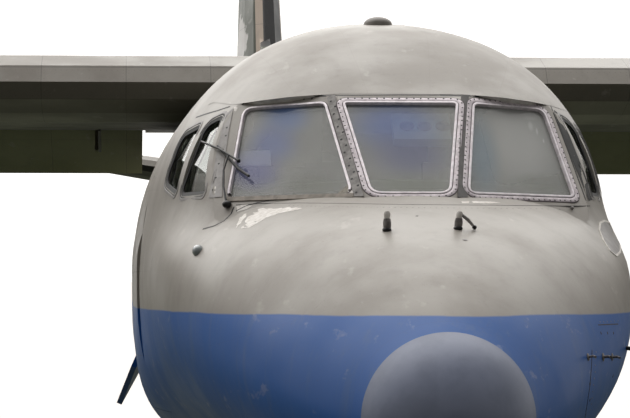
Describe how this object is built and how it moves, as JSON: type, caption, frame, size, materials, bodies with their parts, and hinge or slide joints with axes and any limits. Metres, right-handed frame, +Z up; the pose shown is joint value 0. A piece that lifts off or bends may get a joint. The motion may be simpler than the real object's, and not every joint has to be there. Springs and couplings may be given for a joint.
{
  "type": "twin-turboprop military transport plane",
  "caption": "High-wing transport plane with propeller engines, glazed cockpit, hollow cargo hold, rear loading ramp and wheeled landing gear, parked with flaps part down.",
  "frame": {"origin": "on the ground under the middle of the overall box, halfway along the length and midway between the wing tips", "axes": "+X to the aircraft's port side, +Y aft, -Y towards the nose, +Z up"},
  "size_m": [29.2, 23.8, 8.575],
  "materials": {
    "airframe_paint": "weathered satin grey paint over riveted sheet",
    "tail_paint": "weathered satin grey paint over thin riveted sheet",
    "radome_paint": "dull dielectric paint",
    "window_glass": "polished",
    "cabin_paint": "matt interior paint",
    "seat_cloth": "woven",
    "floor_metal": "worn sheet",
    "engine_metal": "cast",
    "propeller_paint": "satin black paint",
    "gear_steel": "satin",
    "wheel_paint": "green enamel",
    "tyre_rubber": "worn rubber"
  },
  "bodies": {
    "airframe": {"radome": "radome_paint", "forward_fuselage": "airframe_paint", "centre_fuselage": "airframe_paint", "rear_fuselage": "airframe_paint", "tail_cone": "tail_paint", "cargo_floor": "floor_metal", "cockpit_bulkhead": "cabin_paint", "instrument_panel": "cabin_paint", "pilot_seat_port": "seat_cloth", "pilot_seat_starboard": "seat_cloth", "crew_door": "airframe_paint", "windscreen_centre": "window_glass", "windscreen_port": "window_glass", "windscreen_starboard": "window_glass", "sliding_window_port": "window_glass", "sliding_window_starboard": "window_glass", "quarter_window_port": "window_glass", "quarter_window_starboard": "window_glass", "centre_wing": "airframe_paint", "outer_wing_port": "airframe_paint", "outer_wing_starboard": "airframe_paint", "nacelle_port": "airframe_paint", "nacelle_starboard": "airframe_paint", "engine_port": "engine_metal", "engine_starboard": "engine_metal", "fin": "tail_paint", "tailplane_port": "tail_paint", "tailplane_starboard": "tail_paint", "ventral_fin_port": "tail_paint", "ventral_fin_starboard": "tail_paint", "nose_strut": "gear_steel", "nose_door_port": "airframe_paint", "nose_door_starboard": "airframe_paint", "main_leg_port": "gear_steel", "main_leg_starboard": "gear_steel"},
    "propeller_port": {"propeller_port": "propeller_paint"},
    "propeller_starboard": {"propeller_starboard": "propeller_paint"},
    "aileron_port": {"aileron_port": "tail_paint"},
    "aileron_starboard": {"aileron_starboard": "tail_paint"},
    "inner_flap_port": {"inner_flap_port": "tail_paint"},
    "inner_flap_starboard": {"inner_flap_starboard": "tail_paint"},
    "outer_flap_port": {"outer_flap_port": "tail_paint"},
    "outer_flap_starboard": {"outer_flap_starboard": "tail_paint"},
    "rudder": {"rudder": "tail_paint"},
    "elevator_port": {"elevator_port": "tail_paint"},
    "elevator_starboard": {"elevator_starboard": "tail_paint"},
    "loading_ramp": {"loading_ramp": "airframe_paint"},
    "nose_fork": {"nose_fork": "gear_steel"},
    "nose_wheels": {"nose_wheel_rims": "wheel_paint", "nose_tyre_port": "tyre_rubber", "nose_tyre_starboard": "tyre_rubber"},
    "main_wheels_port": {"main_wheel_rims_port": "wheel_paint", "main_tyre_inner_port": "tyre_rubber", "main_tyre_outer_port": "tyre_rubber"},
    "main_wheels_starboard": {"main_wheel_rims_starboard": "wheel_paint", "main_tyre_inner_starboard": "tyre_rubber", "main_tyre_outer_starboard": "tyre_rubber"}
  },
  "joints": [
    {"name": "propeller_port_spin", "type": "hinge", "parent": "airframe", "child": "propeller_port", "pos_m": [3.95, -6.34, 3.18], "axis": [0, 1, 0], "continuous": true},
    {"name": "propeller_starboard_spin", "type": "hinge", "parent": "airframe", "child": "propeller_starboard", "pos_m": [-3.95, -6.34, 3.18], "axis": [0, 1, 0], "continuous": true},
    {"name": "aileron_port_hinge", "type": "hinge", "parent": "airframe", "child": "aileron_port", "pos_m": [9.38, -1.70737, 3.49328], "axis": [-0.9994, -0.0078, 0.0328], "range_deg": [-24, 16]},
    {"name": "aileron_starboard_hinge", "type": "hinge", "parent": "airframe", "child": "aileron_starboard", "pos_m": [-9.38, -1.70737, 3.49328], "axis": [-0.9994, 0.0078, -0.0328], "range_deg": [-24, 16]},
    {"name": "inner_flap_port_hinge", "type": "hinge", "parent": "airframe", "child": "inner_flap_port", "pos_m": [1.37, -1.56321, 3.3568], "axis": [-1, 0, 0], "range_deg": [-25, 13]},
    {"name": "inner_flap_starboard_hinge", "type": "hinge", "parent": "airframe", "child": "inner_flap_starboard", "pos_m": [-1.37, -1.56321, 3.3568], "axis": [-1, 0, 0], "range_deg": [-25, 13]},
    {"name": "outer_flap_port_hinge", "type": "hinge", "parent": "airframe", "child": "outer_flap_port", "pos_m": [4.68, -1.56348, 3.3564], "axis": [-1, 0.0039, 0.0082], "range_deg": [-25, 13]},
    {"name": "outer_flap_starboard_hinge", "type": "hinge", "parent": "airframe", "child": "outer_flap_starboard", "pos_m": [-4.68, -1.56348, 3.3564], "axis": [-1, -0.0039, -0.0082], "range_deg": [-25, 13]},
    {"name": "rudder_hinge", "type": "hinge", "parent": "airframe", "child": "rudder", "pos_m": [0, 9.76256, 4.26], "axis": [0, 0.1516, 0.9884], "range_deg": [-25, 25]},
    {"name": "elevator_port_hinge", "type": "hinge", "parent": "airframe", "child": "elevator_port", "pos_m": [0.65, 10.16775, 3.50323], "axis": [-0.9874, -0.0216, -0.1565], "range_deg": [-30, 20]},
    {"name": "elevator_starboard_hinge", "type": "hinge", "parent": "airframe", "child": "elevator_starboard", "pos_m": [-0.65, 10.16775, 3.50323], "axis": [-0.9874, 0.0216, 0.1565], "range_deg": [-30, 20]},
    {"name": "ramp_hinge", "type": "hinge", "parent": "airframe", "child": "loading_ramp", "pos_m": [0, 1.66, 1.235], "axis": [-1, 0, 0], "range_deg": [0, 33]},
    {"name": "nose_steering", "type": "hinge", "parent": "airframe", "child": "nose_fork", "pos_m": [0, -9.25, 0.88], "axis": [0, 0, 1], "range_deg": [-45, 45]},
    {"name": "nose_wheels_spin", "type": "hinge", "parent": "nose_fork", "child": "nose_wheels", "pos_m": [0, -9.16, 0.34569], "axis": [1, 0, 0], "continuous": true},
    {"name": "main_wheels_port_spin", "type": "hinge", "parent": "airframe", "child": "main_wheels_port", "pos_m": [3.95, -1.6, 0.51854], "axis": [1, 0, 0], "continuous": true},
    {"name": "main_wheels_starboard_spin", "type": "hinge", "parent": "airframe", "child": "main_wheels_starboard", "pos_m": [-3.95, -1.6, 0.51854], "axis": [1, 0, 0], "continuous": true}
  ],
  "couplings": [
    {"joint": "inner_flap_starboard_hinge", "follows": "inner_flap_port_hinge", "ratio": 1},
    {"joint": "outer_flap_port_hinge", "follows": "inner_flap_port_hinge", "ratio": 1},
    {"joint": "outer_flap_starboard_hinge", "follows": "inner_flap_port_hinge", "ratio": 1},
    {"joint": "elevator_starboard_hinge", "follows": "elevator_port_hinge", "ratio": 1}
  ]
}
